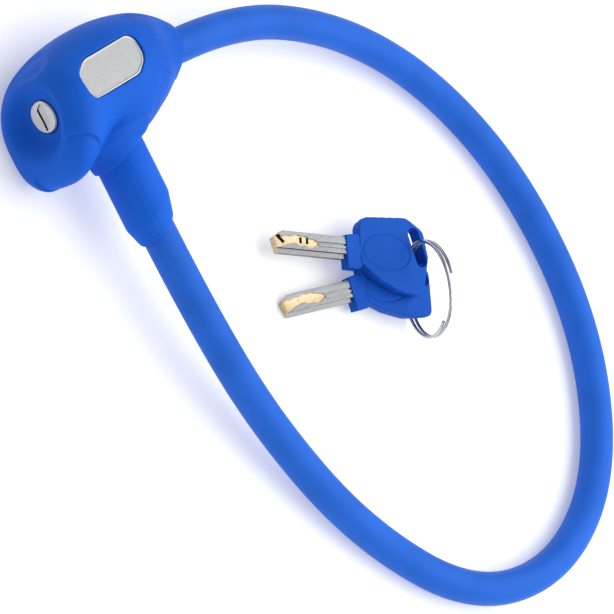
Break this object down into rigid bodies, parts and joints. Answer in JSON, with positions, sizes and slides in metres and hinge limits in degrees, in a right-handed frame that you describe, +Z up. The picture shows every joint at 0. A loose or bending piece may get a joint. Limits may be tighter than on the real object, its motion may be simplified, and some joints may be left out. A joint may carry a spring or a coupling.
{
  "type": "cable lock",
  "caption": "Cable lock: a T-shaped head with a key cylinder, a coated steel cable whose bolt plugs into the head's side, and keys on a split ring.",
  "frame": {"origin": "on the flat underside of the head, below the crossing of the barrel's axis and the bolt's axis", "axes": "+X along the barrel from the keyhole to the cable, -Y along the bolt as it leaves the head, +Z up; the lock lies on the plane Z = 0"},
  "size_m": [0.198, 0.2306, 0.0343],
  "materials": {
    "jacket_rubber": "soft satin, deep blue",
    "sleeve_rubber": "soft satin, deep blue",
    "cable_silicone": "matte blue",
    "badge_metal": "brushed",
    "plug_metal": "satin nickel plate",
    "shutter_black": "matte",
    "core_zinc": "as cast",
    "hard_steel": "turned, plated",
    "spring_steel": "drawn wire",
    "brass_part": "turned",
    "rope_steel": "stranded",
    "blade_metal": "nickel plate over brass, milled",
    "bow_plastic": "soft satin, deep blue",
    "ring_steel": "bright"
  },
  "bodies": {
    "head": {"head_cover": "jacket_rubber", "badge_plate": "badge_metal", "lock_core": "core_zinc", "cylinder_housing": "brass_part", "latch_spring": "spring_steel", "latch_cap": "core_zinc", "socket_bush": "shutter_black", "anchor_ferrule": "hard_steel", "anchor_pin": "hard_steel", "cable_rope": "rope_steel", "cable_jacket": "cable_silicone"},
    "plug": {"key_plug": "plug_metal", "keyway_shutter": "shutter_black", "plug_clip": "spring_steel"},
    "tumblers": {"tumbler_pins": "brass_part"},
    "latch": {"latch": "hard_steel"},
    "bolt": {"lock_bolt": "hard_steel", "bolt_ferrule": "hard_steel", "bolt_sleeve": "sleeve_rubber"},
    "key_2": {"key_2_blade": "blade_metal", "key_2_bow": "bow_plastic"},
    "key_1": {"key_1_blade": "blade_metal", "key_1_bow": "bow_plastic"},
    "ring": {"split_ring": "ring_steel"}
  },
  "joints": [
    {"name": "plug_turn", "type": "hinge", "parent": "head", "child": "plug", "pos_m": [0, 0, 0.017], "axis": [1, 0, 0], "range_deg": [0, 90]},
    {"name": "tumbler_lift", "type": "slide", "parent": "plug", "child": "tumblers", "axis": [0, 0, -1], "range_m": [0, 0.0005]},
    {"name": "latch_slide", "type": "slide", "parent": "head", "child": "latch", "axis": [0, 0, 1], "range_m": [0, 0.00425], "deforming": ["latch_spring"]},
    {"name": "bolt_pull", "type": "slide", "parent": "head", "child": "bolt", "axis": [0, -1, 0], "range_m": [0, 0.03], "deforming": ["cable_jacket", "cable_rope"]},
    {"name": "key_lift", "type": "slide", "parent": "head", "child": "key_2", "axis": [0, 0, 1], "range_m": [0, 0.05]},
    {"name": "key_fan", "type": "hinge", "parent": "key_2", "child": "key_1", "pos_m": [0.10154, -0.09362, 0.01058], "axis": [-0.0746, 0.0193, 0.997], "range_deg": [-8, 15]},
    {"name": "ring_turn", "type": "hinge", "parent": "key_2", "child": "ring", "pos_m": [0.09437, -0.10617, 0.01548], "axis": [0.8761, -0.3593, 0.3214], "range_deg": [-40, 40]}
  ],
  "couplings": [
    {"joint": "latch_slide", "follows": "plug_turn", "m_per_rad": 0.0027009}
  ]
}
